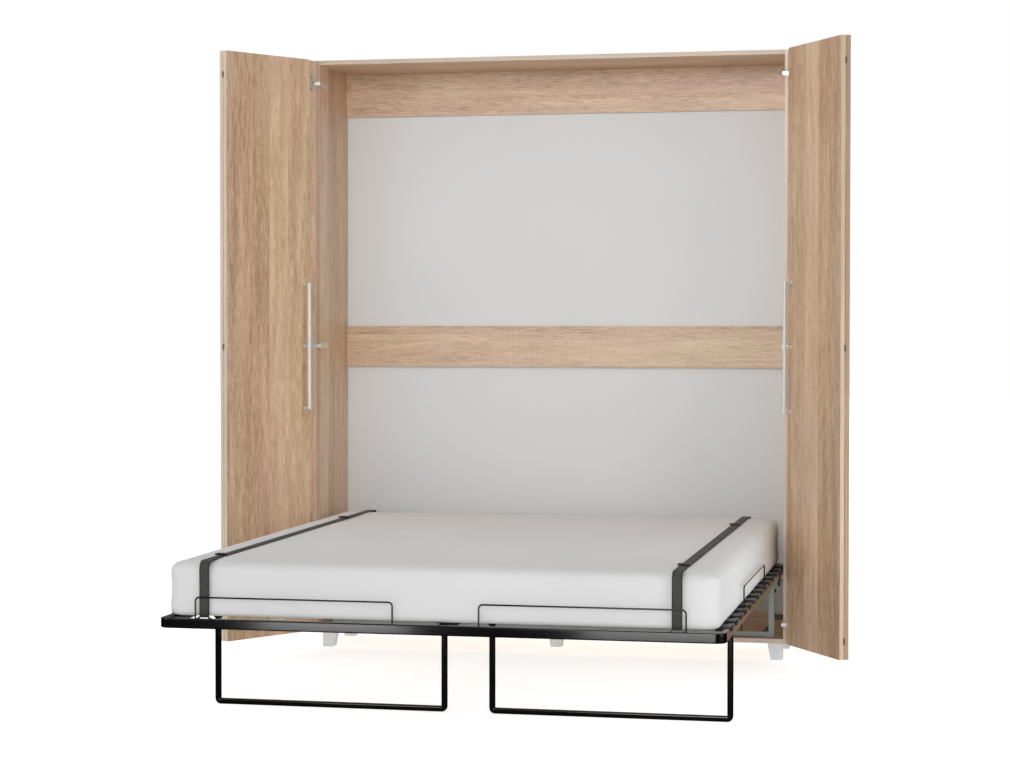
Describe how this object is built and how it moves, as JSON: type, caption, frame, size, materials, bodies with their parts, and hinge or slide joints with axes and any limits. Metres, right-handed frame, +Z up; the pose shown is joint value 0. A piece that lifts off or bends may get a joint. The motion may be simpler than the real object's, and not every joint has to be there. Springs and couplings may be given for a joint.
{
  "type": "wall bed",
  "caption": "Fold-down wall bed in an upright oak cabinet with folding door pairs, a slatted steel bed frame on folding leg hoops, and a strapped mattress.",
  "frame": {"origin": "on the floor under the middle of the overall box, with the bed lowered and the doors folded open", "axes": "+X to the right seen from the foot of the bed, +Y from the foot of the bed towards the wall, +Z up"},
  "size_m": [2.2254, 2.211, 2.208],
  "materials": {
    "oak": "matt light brown oak foil with cream edge bands",
    "back_board": "smooth pale grey painted board",
    "foot_plastic": "light grey matt",
    "grey_steel": "grey powder coat",
    "black_fitting": "black powder coat",
    "zinc_steel": "zinc plated",
    "chrome": "bright nickel",
    "satin_metal": "satin silver",
    "black_steel": "glossy black powder coat",
    "slat_wood": "birch ply, clear lacquer",
    "black_plastic": "black satin plastic",
    "mattress_cover": "white woven cover",
    "webbing": "dark grey woven strap"
  },
  "bodies": {
    "cabinet": {"side_panel_left": "oak", "side_panel_right": "oak", "top_panel": "oak", "bottom_panel": "oak", "back_rail_upper": "oak", "back_rail_middle": "oak", "back_rail_lower": "oak", "back_panel_upper": "back_board", "back_panel_lower": "back_board", "feet": "foot_plastic", "stand_post_left": "grey_steel", "stand_post_right": "grey_steel", "stand_cross_tube": "grey_steel", "stand_gussets": "black_fitting", "stand_brackets": "black_fitting", "stand_bolts": "black_fitting", "pivot_pins": "zinc_steel", "hinge_arms": "chrome", "strut_foot_brackets": "black_fitting", "wall_brackets": "zinc_steel"},
    "bed": {"front_rail": "black_steel", "side_rail_left": "black_steel", "side_rail_right": "black_steel", "head_rail": "black_steel", "centre_beam": "black_steel", "leg_cross_tube": "black_steel", "strut_cross_tube": "black_steel", "slats_left": "slat_wood", "slats_right": "slat_wood", "slat_holders_side": "black_plastic", "slat_holders_centre": "black_plastic", "retainers_front": "black_steel", "retainers_side": "black_steel", "mattress": "mattress_cover", "strap_left": "webbing", "strap_right": "webbing", "strap_buckles": "black_plastic", "strap_loops": "black_steel", "pivot_plates": "black_fitting", "leg_brackets": "black_fitting", "strut_head_lugs": "black_fitting"},
    "leg_left": {"leg_hoop_left": "black_steel"},
    "leg_right": {"leg_hoop_right": "black_steel"},
    "strut_body_left": {"strut_cylinder_left": "black_fitting"},
    "strut_body_right": {"strut_cylinder_right": "black_fitting"},
    "strut_piston_left": {"strut_rod_left": "chrome"},
    "strut_piston_right": {"strut_rod_right": "chrome"},
    "door_outer_left": {"door_leaf_outer_left": "oak", "hinge_cups_left": "chrome", "fold_hinges_left": "chrome"},
    "door_inner_left": {"door_leaf_inner_left": "oak", "fold_plates_left": "chrome", "handle_left": "satin_metal"},
    "door_outer_right": {"door_leaf_outer_right": "oak", "hinge_cups_right": "chrome", "fold_hinges_right": "chrome"},
    "door_inner_right": {"door_leaf_inner_right": "oak", "fold_plates_right": "chrome", "handle_right": "satin_metal"}
  },
  "joints": [
    {"name": "bed_fold", "type": "hinge", "parent": "cabinet", "child": "bed", "pos_m": [0, 0.7545, 0.278], "axis": [-1, 0, 0], "range_deg": [0, 90]},
    {"name": "leg_fold_left", "type": "hinge", "parent": "bed", "child": "leg_left", "pos_m": [-0.4445, -0.6415, 0.283], "axis": [1, 0, 0], "range_deg": [0, 90]},
    {"name": "strut_swing_left", "type": "hinge", "parent": "cabinet", "child": "strut_body_left", "pos_m": [-0.69, 0.7545, 0.165], "axis": [-1, 0, 0], "range_deg": [0, 61.8]},
    {"name": "strut_slide_left", "type": "slide", "parent": "strut_body_left", "child": "strut_piston_left", "axis": [0, -0.872, 0.4895], "range_m": [0, 0.082]},
    {"name": "door_swing_left", "type": "hinge", "parent": "cabinet", "child": "door_outer_left", "pos_m": [-0.8755, 0.6925, 1.123], "axis": [0, 0, 1], "range_deg": [-45, 8]},
    {"name": "door_unfold_left", "type": "hinge", "parent": "door_outer_left", "child": "door_inner_left", "pos_m": [-1.09846, 0.28833, 1.123], "axis": [0, 0, 1], "range_deg": [-2.5, 0]},
    {"name": "leg_fold_right", "type": "hinge", "parent": "bed", "child": "leg_right", "pos_m": [0.4445, -0.6415, 0.283], "axis": [1, 0, 0], "range_deg": [0, 90]},
    {"name": "strut_swing_right", "type": "hinge", "parent": "cabinet", "child": "strut_body_right", "pos_m": [0.69, 0.7545, 0.165], "axis": [-1, 0, 0], "range_deg": [0, 61.8]},
    {"name": "strut_slide_right", "type": "slide", "parent": "strut_body_right", "child": "strut_piston_right", "axis": [0, -0.872, 0.4895], "range_m": [0, 0.082]},
    {"name": "door_swing_right", "type": "hinge", "parent": "cabinet", "child": "door_outer_right", "pos_m": [0.8755, 0.6925, 1.123], "axis": [0, 0, -1], "range_deg": [-45, 8]},
    {"name": "door_unfold_right", "type": "hinge", "parent": "door_outer_right", "child": "door_inner_right", "pos_m": [1.09846, 0.28833, 1.123], "axis": [0, 0, -1], "range_deg": [-2.5, 0]}
  ],
  "couplings": [
    {"joint": "leg_fold_left", "follows": "bed_fold", "ratio": 1},
    {"joint": "strut_swing_left", "follows": "bed_fold", "ratio": 0.68612},
    {"joint": "strut_slide_left", "follows": "bed_fold", "m_per_rad": 0.05216},
    {"joint": "leg_fold_right", "follows": "bed_fold", "ratio": 1},
    {"joint": "strut_swing_right", "follows": "bed_fold", "ratio": 0.68612},
    {"joint": "strut_slide_right", "follows": "bed_fold", "m_per_rad": 0.05216}
  ]
}
